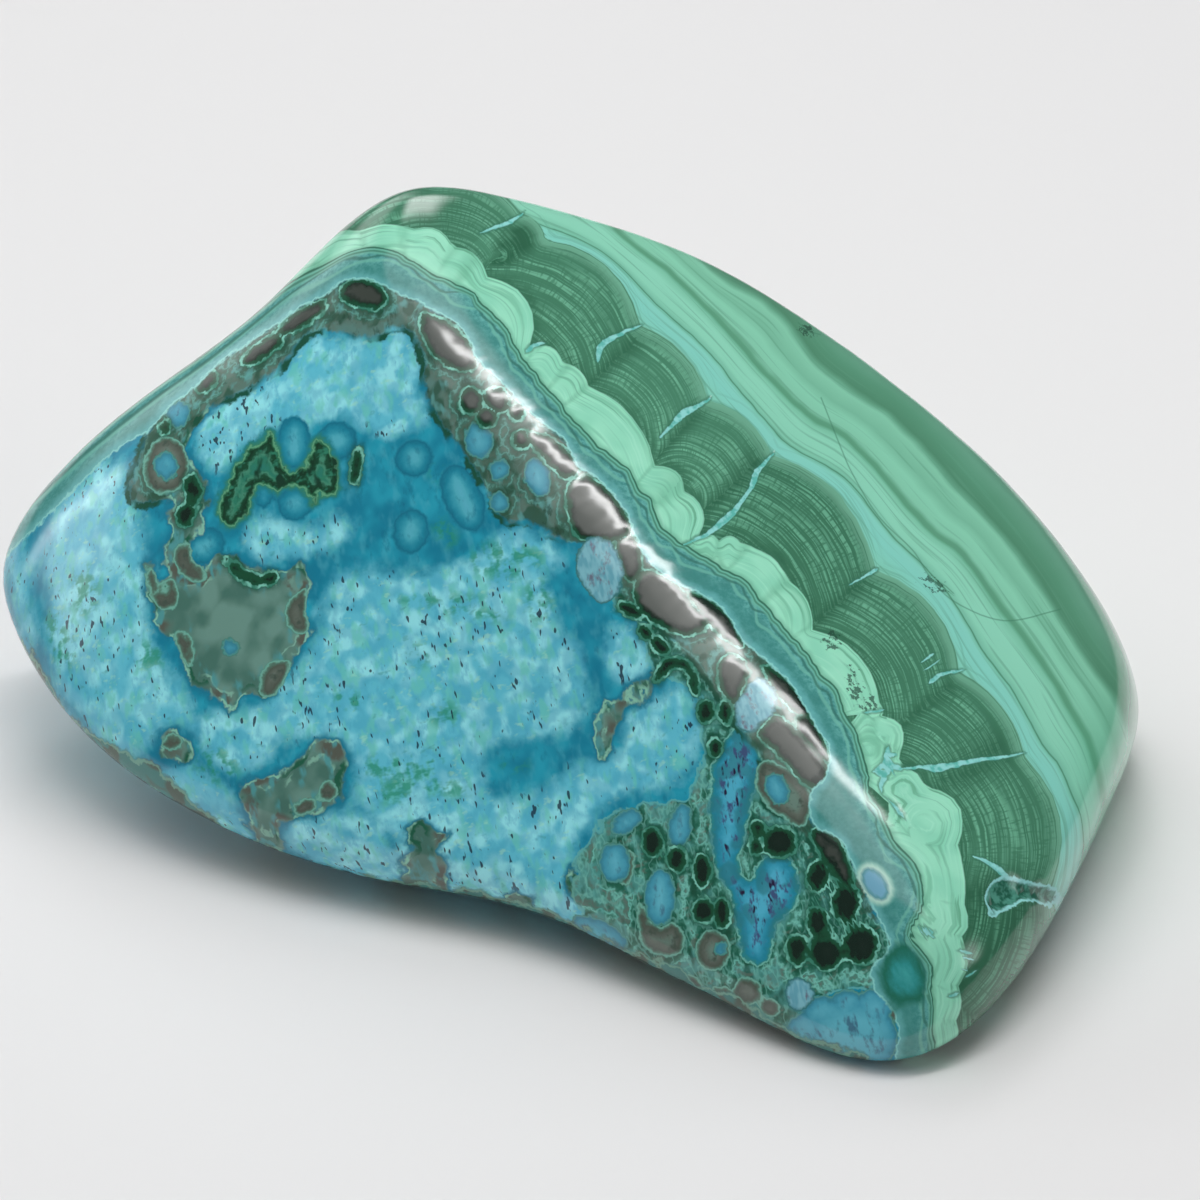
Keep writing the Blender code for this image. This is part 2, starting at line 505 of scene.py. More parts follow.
DARK_BEADS = [
    (302, 318, 27, 7, -33), (262, 350, 22, 7, -33), (207, 382, 12, 6, -50), (471, 401, 11, 12, 0),
    (497, 400, 12, 11, 20), (517, 412, 6, 8, 30), (487, 418, 9, 9, 0), (521, 440, 8, 8, 0),
    (706, 712, 7, 10, 0), (725, 713, 6, 10, 0), (715, 748, 6, 8, 0), (758, 829, 6, 7, 0),
    (756, 847, 6, 7, 0), (780, 842, 16, 14, 0), (652, 843, 9, 13, 0), (677, 859, 9, 11, 0),
    (702, 871, 8, 15, 0), (704, 911, 11, 11, 0), (722, 913, 7, 14, 0), (818, 876, 10, 16, 20),
    (846, 903, 13, 17, 10), (818, 922, 10, 14, 0), (797, 950, 10, 14, 0), (826, 953, 16, 16, 0),
    (861, 945, 17, 18, 0), (193, 489, 7, 14, -15), (186, 515, 8, 11, 20), (164, 427, 5, 7, 0),
    (356, 466, 4, 16, 8), (630, 610, 13, 5, 25), (645, 632, 7, 5, 50), (660, 646, 10, 6, 40),
]
DARK_SHAPES = [
    [
        (341, 293), (346, 284), (357, 280), (370, 281), (380, 288), (387, 300), (377, 308), (362, 307),
        (350, 302),
    ],
    [
        (424, 314), (436, 317), (450, 324), (461, 334), (470, 346), (476, 361), (469, 370), (454, 368),
        (438, 359), (427, 343), (421, 327),
    ],
    [(530, 434), (545, 436), (562, 447), (575, 461), (577, 473), (565, 477), (550, 464), (536, 450)],
    [
        (569, 488), (577, 479), (590, 477), (607, 490), (621, 507), (630, 522), (628, 533), (614, 540),
        (598, 539), (583, 539), (574, 530), (568, 510),
    ],
    [(617, 545), (629, 537), (637, 543), (641, 559), (640, 572), (631, 580), (623, 571)],
    [
        (636, 582), (649, 571), (663, 577), (680, 589), (692, 605), (706, 617), (703, 629), (688, 634),
        (671, 630), (649, 618), (638, 606),
    ],
    [
        (690, 594), (704, 597), (719, 606), (733, 620), (741, 638), (741, 647), (728, 640), (712, 626),
        (699, 610),
    ],
    [(720, 663), (729, 656), (741, 660), (748, 672), (742, 687), (738, 700), (731, 701), (720, 684)],
    [(764, 667), (777, 672), (791, 684), (804, 699), (811, 712), (806, 717), (789, 706), (774, 689)],
    [(796, 722), (807, 715), (815, 724), (823, 738), (828, 752), (828, 762), (816, 752), (803, 738)],
    [
        (760, 736), (766, 724), (777, 716), (788, 724), (801, 735), (815, 751), (826, 766), (828, 778),
        (819, 787), (808, 785), (791, 769), (775, 750),
    ],
    [
        (811, 833), (822, 829), (834, 835), (842, 847), (847, 861), (853, 875), (850, 885), (841, 883),
        (830, 869), (819, 850),
    ],
    [
        (656, 682), (660, 666), (673, 658), (688, 663), (696, 677), (698, 693), (692, 690), (687, 672),
        (674, 667), (664, 676),
    ],
    [
        (224, 558), (233, 562), (247, 572), (262, 576), (275, 573), (276, 580), (262, 585), (246, 582),
        (232, 572),
    ],
]
BROWN_SHAPES = [
    [
        (765, 763), (777, 766), (790, 772), (803, 784), (810, 799), (807, 816), (799, 824), (786, 816),
        (773, 808), (763, 795), (757, 780),
    ],
    [
        (641, 905), (648, 922), (660, 930), (672, 926), (680, 930), (682, 945), (672, 954), (656, 952),
        (642, 938),
    ],
    [
        (146, 472), (150, 453), (160, 440), (172, 440), (184, 452), (186, 470), (178, 487), (165, 491),
        (152, 487),
    ],
    [(288, 608), (294, 600), (304, 592), (303, 608), (306, 628), (297, 630), (289, 622)],
    [(262, 690), (266, 670), (278, 663), (288, 664), (282, 680), (272, 694)],
    [(176, 560), (182, 545), (188, 548), (190, 562), (204, 572), (200, 580), (186, 575)],
    [(146, 570), (153, 574), (158, 590), (168, 596), (168, 580), (176, 590), (172, 606), (158, 604)],
    [(176, 634), (186, 636), (192, 650), (190, 664), (184, 655)],
]
BROWN_BEADS = [
    (713, 951, 15, 18, 0), (724, 1001, 15, 11, 25), (748, 991, 12, 11, 30), (891, 1006, 11, 14, 0),
    (328, 791, 7, 7, 0), (305, 807, 10, 5, -20), (172, 742, 8, 6, 0), (690, 985, 10, 7, 20),
    (770, 1008, 9, 7, 0), (627, 868, 5, 15, 10),
]
DARK_ISLAND = [
    (269, 433), (262, 445), (248, 451), (236, 468), (226, 490), (220, 512), (229, 525), (244, 516),
    (250, 500), (253, 488), (264, 483), (276, 490), (284, 487), (297, 486), (309, 492), (314, 503),
    (318, 490), (330, 494), (337, 484), (334, 462), (326, 446), (318, 440), (312, 455), (306, 468),
    (292, 474), (281, 466), (276, 450),
]
ISLANDS = [
    [
        (145, 563), (153, 595), (161, 624), (176, 634), (187, 653), (192, 676), (214, 694), (230, 706),
        (245, 690), (268, 694), (280, 670), (303, 641), (305, 630), (296, 618), (305, 590), (307, 576),
        (300, 570), (280, 576), (255, 573), (232, 558), (218, 560), (205, 572), (190, 578), (176, 572),
        (165, 590), (155, 585),
    ],
    [
        (245, 787), (268, 779), (292, 769), (308, 756), (320, 744), (332, 752), (340, 748), (341, 775),
        (337, 794), (325, 806), (306, 810), (284, 817), (274, 833), (280, 852), (306, 868), (345, 878),
        (345, 886), (290, 872), (262, 850), (252, 820),
    ],
    [
        (407, 836), (420, 826), (430, 836), (443, 836), (436, 850), (443, 886), (412, 890), (408, 866),
        (416, 852),
    ],
    [(164, 738), (176, 733), (190, 748), (180, 758), (166, 756)],
    [
        (145, 478), (148, 445), (160, 420), (175, 398), (200, 382), (222, 370), (230, 378), (224, 394),
        (205, 408), (193, 422), (182, 440), (186, 462), (199, 479), (204, 504), (196, 525), (200, 532),
        (182, 545), (176, 563), (186, 578), (172, 572), (166, 552), (176, 537), (170, 517), (178, 500),
        (164, 494),
    ],
    [
        (600, 752), (600, 724), (606, 708), (622, 700), (640, 686), (652, 676), (646, 690), (622, 710),
        (612, 722), (608, 745),
    ],
    [(570, 878), (582, 880), (596, 900), (612, 918), (634, 935), (628, 950), (604, 928), (584, 905)],
    [(510, 898), (524, 900), (530, 912), (516, 912)],
]
CLEFTS = [
    [(480, 233, 0.5), (498, 226, 1.6), (510, 222, 2), (523, 213, 0.6)],
    [(528, 350, 2), (534, 345, 2), (546, 343, 0.5)],
    [(598, 360, 1.6), (601, 346, 3.4), (612, 338, 2.6), (626, 331, 1.6), (641, 325, 0.8)],
    [(661, 437, 0.8), (672, 425, 2), (684, 413, 4), (694, 408, 2.6), (710, 398, 1)],
    [
        (684, 544, 0.8), (698, 538, 1.4), (709, 533, 2.2), (722, 522, 3.4), (734, 511, 3), (744, 498, 2),
        (752, 486, 2.2), (757, 472, 3), (773, 453, 0.7),
    ],
    [(850, 584, 0.6), (862, 578, 1), (875, 570, 2)],
    [(922, 662, 0.8), (932, 655, 1.4)],
    [(932, 681, 2.4), (942, 674, 2), (962, 670, 1)],
    [(866, 712, 1), (882, 710, 1.2)],
    [
        (904, 768, 1), (924, 767, 2), (938, 768, 4), (952, 765, 3), (983, 759, 2), (1004, 757, 1.4),
        (1024, 753, 0.7),
    ],
    [(876, 770, 1.6), (885, 763, 3), (888, 749, 2.4)],
    [(888, 764, 3), (902, 769, 2)],
    [(889, 768, 3), (881, 784, 2.4), (881, 792, 1)],
    [(893, 804, 1.4), (904, 818, 2.4)],
    [(973, 857, 0.8), (988, 862, 2), (1000, 870, 3), (1010, 880, 2)],
    [(922, 931, 2), (931, 932, 2.6)],
    [(924, 926, 1), (927, 938, 1)],
    [(962, 951, 1.6), (972, 953, 1.2)],
    [(967, 976, 1), (975, 972, 1)],
    [(950, 996, 1.2), (958, 994, 1.6)],
    [(1002, 1008, 1.4), (1010, 998, 1)],
]
POCKET = [
    (986, 894), (992, 917), (1004, 910), (1029, 900), (1050, 906), (1061, 898), (1050, 886), (1030, 882),
    (1002, 876),
]
CRACKS = [
    [
        (822, 400, 0.5), (841, 448, 0.6), (853, 475, 0.6), (879, 517, 0.7), (914, 552, 0.8),
        (933, 582, 0.9), (960, 605, 0.8), (1006, 621, 0.7), (1058, 610, 0.4),
    ],
    [(925, 570, 0.6), (934, 581, 1.2), (943, 584, 1), (952, 592, 0.5)],
    [(800, 324, 0.6), (808, 331, 1.2), (818, 334, 0.6)],
]
DENDRITES = [
    (832, 641, 6, 5, 0), (855, 691, 6, 6, 0), (868, 703, 8, 3, 0), (934, 583, 9, 3, 40),
    (808, 331, 5, 4, 20), (852, 674, 2, 5, 0),
]

# Marks on the hidden side follow the layers through the stone, bent there by a slow wander
SEEN_FROM = -0.35
HIDDEN_WARP = 8
HIDDEN_WARP_SIZE = 14
WANDER_SEED = 1
noise.seed_set(WANDER_SEED)
eye_ways = (eye - skin) / np.linalg.norm(eye - skin, axis=1, keepdims=True)
seen = smooth(SEEN_FROM, 0, np.einsum("ij,ij->i", outward, eye_ways))
wander = np.zeros_like(skin)
for index in np.flatnonzero(seen < 1):
    wander[index] = noise.noise_vector(Vector(skin[index] / HIDDEN_WARP_SIZE))
spots = in_photo(skin + wander * HIDDEN_WARP * (1 - seen)[:, None])


def clouds(size):
    """Cloudy noise over the surface, from about -1 to 1, with features of this size in millimetres."""
    return np.array([noise.noise(Vector(place / size)) for place in skin])


def waves(distances, length, height):
    """Waves along the growth: their length and greatest height in pixels."""
    stops = np.arange(distances.min() - length, distances.max() + length, length / 8)
    ripple = [
        noise.noise(Vector((stop / length, height, 0)))
        + noise.noise(Vector((2 * stop / length, height, 9))) / 2
        for stop in stops
    ]
    return height * np.interp(distances, stops, ripple)


# Round bites of about 1.3 mm, which scallop the edges of the cells and islands
BITE = 1.35
BITE_MIDDLE = 0.45
bites = np.array([noise.voronoi(Vector(place / BITE))[0][0] for place in skin]) - BITE_MIDDLE
soft_edge = 7 * clouds(1.6) + 5 * clouds(3.4)

# The layers run towards the lower right in the photograph
ALONG_LAYERS = (0.67, 0.74)
past_edge = [beyond(spots, flowing(line))[0] for line in [MALACHITE_EDGE] + BAND_EDGES]
growth = np.minimum(past_edge[0], 0)
for index in range(3):
    here = (past_edge[index] >= 0) & (past_edge[index + 1] < 0)
    share = past_edge[index] / (past_edge[index] - past_edge[index + 1] + 1e-6)
    low, high = BAND_GROWTH[index : index + 2]
    growth = np.where(here, low + (high - low) * share, growth)
growth = np.where(past_edge[3] >= 0, BAND_GROWTH[3] + past_edge[3], growth)
way = spots @ ALONG_LAYERS
layer_wave = 1.2 * clouds(1.8)
lobe, lobe_way, lobe_meeting, _ = nested(spots, LOBE_CUSPS)
fan, fan_way, fan_meeting, fan_number = nested(spots, FAN_CUSPS)
cleft_gap, cleft_side, cleft_end, cleft_width = along_lines(spots, CLEFTS)
crack_gap, crack_side, crack_end, _ = along_lines(spots, CRACKS)
dark_bead_depth = np.maximum(deepest_oval(spots, DARK_BEADS), deepest(spots, DARK_SHAPES))
brown_bead_depth = np.maximum(deepest_oval(spots, BROWN_BEADS), deepest(spots, BROWN_SHAPES))
blue_cell_depth = deepest_oval(spots, BLUE_CELLS)
lens_depth = depth_inside(spots, BLUE_LENS)
marks = {
    "growth": growth,
    "way": way,
    "lobe": lobe + layer_wave,
    "lobe_way": lobe_way,
    "lobe_meeting": lobe_meeting,
    "fan": fan + layer_wave,
    "fan_way": fan_way,
    "fan_meeting": fan_meeting,
    "fan_tone": np.array(FAN_TONES)[np.minimum(fan_number, len(FAN_TONES) - 1)],
    "seam": beyond(spots, flowing(BEAD_EDGE))[0],
    "seam_near": growth + waves(way, 20, 5),
    "seam_middle": growth + waves(way, 26, 8),
    "seam_far": growth + waves(way, 32, 11),
    "ridge": depth_inside(spots, RIDGE_ZONE),
    "net": depth_inside(spots, NET_ZONE) + 14 * bites,
    "foot": away_from(spots, flowing(FOOT_EDGE))[0] + soft_edge,
    "pale": deepest(spots, PALE_CELLS) + 8 * bites + soft_edge,
    "stain": deepest_oval(spots, GREEN_STAINS),
    "clear": deepest_oval(spots, CLEAR_PATCH),
    "deep_cell": deepest_oval(spots, DEEP_CELLS),
    "lens": lens_depth,
    "blue_cell": blue_cell_depth,
    "mauve_cell": deepest(spots, MAUVE_CELLS),
    "dark_bead": dark_bead_depth,
    "brown_bead": brown_bead_depth,
    "beads": np.max([dark_bead_depth, brown_bead_depth, blue_cell_depth, lens_depth], axis=0),
    "seam_pool": deepest_oval(spots, SEAM_POOL),
    "seam_cell": deepest_oval(spots, SEAM_CELL),
    "dark_island": depth_inside(spots, DARK_ISLAND) + 5 * bites,
    "island": deepest(spots, ISLANDS) + 14 * bites,
    "pocket": depth_inside(spots, POCKET),
    "cleft_near": cleft_gap,
    "cleft_side": cleft_side,
    "cleft_over": np.maximum(cleft_end, 0) - cleft_width,
    "crack_near": crack_gap + crack_end,
    "crack_side": crack_side,
    "dendrite": deepest_oval(spots, DENDRITES),
    "cloud": clouds(2.6) + 0.5 * clouds(1.2),
    "mottling": clouds(1.7) + 0.6 * clouds(0.85),
    "drift": clouds(6.0),
    "bite": bites,
}
for name, values in marks.items():
    layer = surface.attributes.new(name, "FLOAT", "POINT")
    layer.data.foreach_set("value", np.ascontiguousarray(values, np.float32))

# The fibres and specks of the chrysocolla lean a little to the left of upright in the photograph's view
FIBRE_LEAN = math.radians(14)
fibre_up = view_up * math.cos(FIBRE_LEAN) - view_right * math.sin(FIBRE_LEAN)
fibre_right = view_right * math.cos(FIBRE_LEAN) + view_up * math.sin(FIBRE_LEAN)
along_fibres = skin @ np.stack([fibre_right, -to_camera, fibre_up], axis=1)
layer = surface.attributes.new("along_fibres", "FLOAT_VECTOR", "POINT")
layer.data.foreach_set("vector", np.ascontiguousarray(along_fibres, np.float32).ravel())

# The relief that polishing leaves, in millimetres: hard beads stand proud of the softer stone, clefts
# stay open, and the lowest millimetre is level so that the stone sits on the table as it was cut
BEAD_RISE = 0.03
CLEFT_DEPTH = 0.07
POCKET_DEPTH = 0.6
POLISH_WAVES = ((5.0, 0.05), (1.7, 0.012))
PEBBLE_SIZE = 0.9
PEBBLE_HEIGHT = 0.009
LEVEL_BELOW = 1
SHARP_FROM = math.radians(40)
relief = BEAD_RISE * smooth(-2, 8, marks["dark_bead"]) * smooth(-6, 2, marks["ridge"])
relief -= CLEFT_DEPTH * smooth(4, -1, cleft_gap - cleft_width)
relief -= POCKET_DEPTH * smooth(-1, 8, marks["pocket"])
for size, height in POLISH_WAVES:
    relief += height * clouds(size)
pebbly = smooth(-6, 2, marks["ridge"]) + smooth(-2, 4, marks["seam"]) * smooth(4, -6, marks["growth"])
relief += PEBBLE_HEIGHT * pebbly * clouds(PEBBLE_SIZE)
relief[skin[:, 2] < LEVEL_BELOW] = 0
surface.vertices.foreach_set("co", ((skin + outward * relief[:, None]) * MM).ravel())
surface.shade_smooth()
surface.set_sharp_from_angle(angle=SHARP_FROM)
surface.update()

stone = bpy.data.objects.new("polished_stone_surface", surface)
bpy.context.scene.collection.objects.link(stone)

# The polished minerals
# Two finishes cover the stone: chrysocolla with its beads, and malachite. The marks say where each
# colour is laid over the ones below it, and fine noise gives the edges and the colours their grain.


def paint(colour):
    """A colour given in the usual 0 to 255 steps, as the shader takes it."""
    return (*[(c / 255 / 12.92 if c < 10.5 else ((c / 255 + 0.055) / 1.055) ** 2.4) for c in colour], 1.0)


class Coat:
    """A colour that more colours are laid over, one after the other."""

    def __init__(self, palette, colour):
        self.palette = palette
        self.colour = colour

    def lay(self, over, *masks):
        """Lays a colour over this one, by the product of some masks and shares."""
        self.colour = self.palette.mix(self.colour, over, masks)


class Palette:
    """The nodes of a material or a node group, with short ways to lay colours over each other."""

    def __init__(self, tree):
        self.nodes = tree.nodes
        self.links = tree.links
        self.along_fibres = None
        self.wobble = None

    def put(self, socket, value):
        """Puts a coat, a link, a colour or a plain number on a node's input."""
        if isinstance(value, Coat):
            value = value.colour
        if isinstance(value, bpy.types.NodeSocket):
            self.links.new(value, socket)
        else:
            socket.default_value = paint(value) if isinstance(value, tuple) else value

    def mark(self, name):
        """A mark that the surface carries."""
        node = self.nodes.new("ShaderNodeAttribute")
        node.attribute_name = name
        return node.outputs["Fac"]

    def math(self, operation, first, second=0.0, third=0.0):
        node = self.nodes.new("ShaderNodeMath")
        node.operation = operation
        for socket, value in zip(node.inputs, (first, second, third)):
            self.put(socket, value)
        return node.outputs[0]

    def times(self, first, second):
        return self.math("MULTIPLY", first, second)

    def bent(self, value, amount, noise):
        """A value that a noise moves by up to about half this amount."""
        return self.math("MULTIPLY_ADD", noise, amount, value)

    def rough(self, name, amount):
        """A mark whose edge the wobble moves by up to about half this amount of pixels."""
        return self.bent(self.mark(name), amount, self.wobble)

    def fade(self, value, low, high):
        """0 where the value is at low, 1 where it is at high, and smooth between."""
        node = self.nodes.new("ShaderNodeMapRange")
        node.interpolation_type = "SMOOTHSTEP"
        self.put(node.inputs["Value"], value)
        rising = low < high
        node.inputs["From Min"].default_value = low if rising else high
        node.inputs["From Max"].default_value = high if rising else low
        node.inputs["To Min"].default_value = 0 if rising else 1
        node.inputs["To Max"].default_value = 1 if rising else 0
        return node.outputs["Result"]

    def band(self, value, middle, half_width, soft):
        """1 in a narrow band of the value, fading out over soft on both sides."""
        off = self.math("ABSOLUTE", self.math("SUBTRACT", value, middle))
        return self.fade(off, half_width + soft, half_width)

    def lay(self, under, over, *masks):
        """A new coat of one colour over another."""
        return Coat(self, self.mix(under, over, masks))

    def mix(self, under, over, masks):
        mask = masks[0]
        for share in masks[1:]:
            mask = self.times(mask, share)
        node = self.nodes.new("ShaderNodeMix")
        node.data_type = "RGBA"
        self.put(node.inputs["Factor"], mask)
        self.put(node.inputs["A"], under)
        self.put(node.inputs["B"], over)
        return node.outputs["Result"]

    def by_steps(self, value, steps):
        """A coat whose colour changes along the value: steps are (value, colour), in order."""
        low, high = steps[0][0], steps[-1][0]
        node = self.nodes.new("ShaderNodeValToRGB")
        stops = node.color_ramp.elements
        while len(stops) < len(steps):
            stops.new(0.5)
        for stop, (spot, colour) in zip(stops, steps):
            stop.position = (spot - low) / (high - low)
            stop.color = paint(colour)
        even_range = self.nodes.new("ShaderNodeMapRange")
        self.put(even_range.inputs["Value"], value)
        even_range.inputs["From Min"].default_value = low
        even_range.inputs["From Max"].default_value = high
        self.links.new(even_range.outputs["Result"], node.inputs["Fac"])
        return Coat(self, node.outputs["Color"])

    def scaled_place(self, size, stretch=(1, 1, 1), shift=0.0):
        """The place in the stone in units of a size in millimetres, turned to the fibres' lean."""
        node = self.nodes.new("ShaderNodeVectorMath")
        node.operation = "MULTIPLY_ADD"
        self.links.new(self.along_fibres, node.inputs[0])
        node.inputs[1].default_value = [1 / (size * s) for s in stretch]
        node.inputs[2].default_value = (shift, shift, shift)
        return node.outputs[0]

    def noise(self, vector, detail, roughness, dimensions="3D"):
        node = self.nodes.new("ShaderNodeTexNoise")
        node.noise_dimensions = dimensions
        self.links.new(vector, node.inputs["Vector"])
        node.inputs["Scale"].default_value = 1
        node.inputs["Detail"].default_value = detail
        node.inputs["Roughness"].default_value = roughness
        return self.math("MULTIPLY_ADD", node.outputs["Fac"], 2.0, -1.0)

    def grain(self, size, detail=2.0, roughness=0.5, stretch=(1, 1, 1), shift=0.0):
        """Cloudy noise about 0, from -1 to 1, with features of this size in millimetres."""
        return self.noise(self.scaled_place(size, stretch, shift), detail, roughness)

    def layers(self, depth, way, spacing, run, detail=1.0, shift=0.0):
        """Uneven thin layers about 0: their spacing in depth, and how far they run along, in pixels."""
        node = self.nodes.new("ShaderNodeCombineXYZ")
        self.put(node.inputs["X"], self.math("MULTIPLY_ADD", depth, 2 / spacing, shift))
        self.put(node.inputs["Y"], self.times(way, 1 / run))
        return self.noise(node.outputs[0], detail, 0.5, "2D")


# The wavy teal seam between the minerals runs under the edge of both finishes, so both place this group
seam_tree = bpy.data.node_groups.new("teal seam", "ShaderNodeTree")
seam_tree.interface.new_socket("Along Fibres", in_out="INPUT", socket_type="NodeSocketVector")
for name in ("Seam", "Near", "Middle", "Far", "Cloud", "Pool", "Cell"):
    seam_tree.interface.new_socket(name, in_out="INPUT", socket_type="NodeSocketFloat")
seam_tree.interface.new_socket("Colour", in_out="OUTPUT", socket_type="NodeSocketColor")
seam_tree.interface.new_socket("Mottle", in_out="OUTPUT", socket_type="NodeSocketFloat")
teal = Palette(seam_tree)
given = teal.nodes.new("NodeGroupInput").outputs
teal.along_fibres = given["Along Fibres"]
near = given["Near"]
mottle = teal.grain(0.5, 3, 0.7)
teal_colour = teal.lay((68, 146, 142), (108, 184, 178), teal.fade(mottle, -0.35, 0.4))
teal_colour.lay((62, 134, 128), teal.fade(given["Cloud"], 0.05, 0.5), 0.6)
teal_colour.lay((60, 138, 132), teal.fade(near, -10, -24), 0.7)
teal_colour.lay((120, 200, 204), teal.fade(given["Seam"], 11, 1), 0.6)
teal_colour.lay((142, 216, 210), teal.band(given["Seam"], 0.6, 0.5, 1.6))
teal_colour.lay((114, 190, 172), teal.band(given["Far"], -13, 0.5, 2.2), 0.7)
teal_colour.lay((52, 114, 102), teal.band(given["Middle"], -9, 0.4, 1.8), 0.75)
teal_colour.lay((114, 190, 168), teal.fade(near, -8.5, -5))
teal_colour.lay((60, 126, 106), teal.band(near, -4.6, 0.3, 1.3), 0.8)
teal_colour.lay((54, 116, 94), teal.band(near, -0.8, 0.6, 1.3))
pool = teal.bent(teal.bent(given["Pool"], 18.0, given["Cloud"]), 5.0, mottle)
pool_colour = teal.by_steps(pool, [
    (-6, (48, 128, 116)), (5, (30, 112, 92)), (10, (34, 120, 106)), (20, (48, 150, 148)),
    (28, (64, 166, 166)),
])
pool_mask = teal.times(teal.fade(pool, -12, 5), teal.fade(near, -4, -12))
teal_colour.lay(pool_colour, pool_mask)
# The small cell in the seam, blue inside a near-white rim: a painted highlight over its pale rim
seam_cell_and_highlight = teal.by_steps(given["Cell"], [
    (-8, (130, 200, 186)), (-3, (184, 226, 212)), (0, (96, 160, 168)), (3, (120, 180, 206)),
])
teal_colour.lay(seam_cell_and_highlight, teal.fade(given["Cell"], -10, -4))
handed_on = teal.nodes.new("NodeGroupOutput").inputs
teal.put(handed_on["Colour"], teal_colour)
teal.put(handed_on["Mottle"], mottle)


def start_finish(name):
    """A new material on the stone, as the nodes to lay its colours with."""
    material = bpy.data.materials.new(name)
    material.use_nodes = True
    surface.materials.append(material)
    finish = Palette(material.node_tree)
    fibres = finish.nodes.new("ShaderNodeAttribute")
    fibres.attribute_name = "along_fibres"
    finish.along_fibres = fibres.outputs["Vector"]
    finish.wobble = finish.grain(0.8, 2, 0.6)
    return finish


SEAM_MARKS = {
    "Near": "seam_near",
    "Middle": "seam_middle",
    "Far": "seam_far",
    "Cloud": "cloud",
    "Pool": "seam_pool",
    "Cell": "seam_cell",
}


def place_seam(finish, seam):
    """The teal seam in a finish: its colour and its mottle."""
    node = finish.nodes.new("ShaderNodeGroup")
    node.node_tree = seam_tree
    finish.put(node.inputs["Along Fibres"], finish.along_fibres)
    finish.put(node.inputs["Seam"], seam)
    for name, mark in SEAM_MARKS.items():
        finish.put(node.inputs[name], finish.mark(mark))
    return node.outputs["Colour"], node.outputs["Mottle"]


STONE_IOR = 1.62
POLISH_ROUGHNESS = 0.12


def polish(finish, colour):
    """The colour under a glossy hand polish."""
    shader = finish.nodes["Principled BSDF"]
    finish.put(shader.inputs["Base Color"], colour)
    shader.inputs["IOR"].default_value = STONE_IOR
    shader.inputs["Roughness"].default_value = POLISH_ROUGHNESS


# Chrysocolla: pale turquoise cells in deep blue, with green stains and dark specks
blue = start_finish("polished chrysocolla")
fibres = blue.grain(0.75, 3, 0.6, stretch=(1, 1, 2.0))
mottling = blue.mark("mottling")
strands = blue.grain(1.0, 2, 0.5, stretch=(1, 1, 2.0), shift=3.0)
speckle = blue.grain(0.52, 1, 0.6, stretch=(0.8, 0.9, 2.3))
flecks = blue.grain(0.8, 2, 0.6, stretch=(1.5, 1, 0.9), shift=11.0)
cloud = blue.mark("cloud")
drift = blue.mark("drift")
pale = blue.rough("pale", 6.0)
cell_border = blue.fade(blue.bent(blue.mark("bite"), 0.4, fibres), -0.05, 0.3)
turquoise_shade = blue.fade(blue.bent(mottling, 0.35, drift), -0.35, 0.4)
turquoise = blue.lay((100, 202, 224), (156, 240, 248), turquoise_shade)
turquoise.lay((70, 170, 202), cell_border, 0.45)
turquoise.lay((78, 178, 208), blue.fade(fibres, -0.02, -0.4), 0.6)
turquoise.lay((110, 212, 198), blue.fade(strands, 0.0, 0.35), 0.65)
turquoise.lay((170, 234, 214), blue.fade(flecks, 0.2, 0.5), 0.55)
turquoise.lay((64, 156, 154), blue.fade(flecks, -0.28, -0.55), 0.45)
deep_shade = blue.fade(blue.bent(mottling, 0.5, drift), -0.8, 0.85)
deep_blue = blue.lay((14, 130, 160), (38, 166, 192), deep_shade)
deep_blue.lay((76, 180, 198), blue.fade(strands, -0.05, 0.5), 0.5)
deep_blue.lay((12, 104, 132), blue.fade(fibres, 0.1, 0.5), 0.5)
chrysocolla = blue.lay(deep_blue, turquoise, blue.fade(pale, -9, 13))
stain_grain = blue.fade(blue.math("ADD", flecks, strands), -0.15, 0.35)
chrysocolla.lay((40, 152, 122), blue.fade(blue.mark("stain"), -9, 7), stain_grain, 0.8)
speck = blue.fade(blue.bent(speckle, 0.2, drift), 0.34, 0.44)
speck = blue.times(speck, blue.times(blue.fade(pale, -8, 4), blue.fade(blue.mark("clear"), 6, -8)))
chrysocolla.lay((28, 42, 66), speck, 0.9)
deep_cell = blue.rough("deep_cell", 4.0)
deep_cell_colour = blue.by_steps(deep_cell, [
    (-5, (36, 150, 176)), (-1, (18, 120, 146)), (3, (28, 142, 168)), (8, (54, 162, 184)),
    (13, (84, 184, 202)), (24, (92, 188, 208)),
])
deep_cell_colour.lay((18, 112, 140), blue.fade(fibres, 0.05, 0.45), 0.5)
chrysocolla.lay(deep_cell_colour, blue.fade(deep_cell, -5, -1.5))

# Islands of green and brown stone with scalloped, pale rims
island = blue.rough("island", 5.0)
island_shade = blue.fade(blue.bent(cloud, 0.6, mottling), -0.55, 0.55)
island_body = blue.lay((74, 120, 108), (112, 156, 144), island_shade)
island_colour = blue.lay((24, 126, 154), island_body, blue.fade(island, -5, -1))
island_colour.lay((92, 98, 88), blue.band(island, 3, 2.5, 4.0), blue.fade(cloud, -0.1, 0.3))
island_colour.lay((32, 98, 74), blue.band(island, 1, 1.5, 3.0), blue.fade(cloud, 0.0, -0.3))
island_colour.lay((144, 208, 184), blue.band(island, -1.5, 0.4, 1.8), blue.fade(strands, -0.15, 0.2))
island_colour.lay((134, 188, 168), blue.band(island, 9, 0.3, 1.8), blue.fade(mottling, -0.1, 0.25))
wisps = blue.times(blue.fade(strands, 0.0, 0.35), blue.fade(island, 24, 10))
island_colour.lay((84, 160, 162), wisps, blue.fade(island, -2, 1))
stone_colour = blue.lay(chrysocolla, island_colour, blue.fade(island, -10, -3))
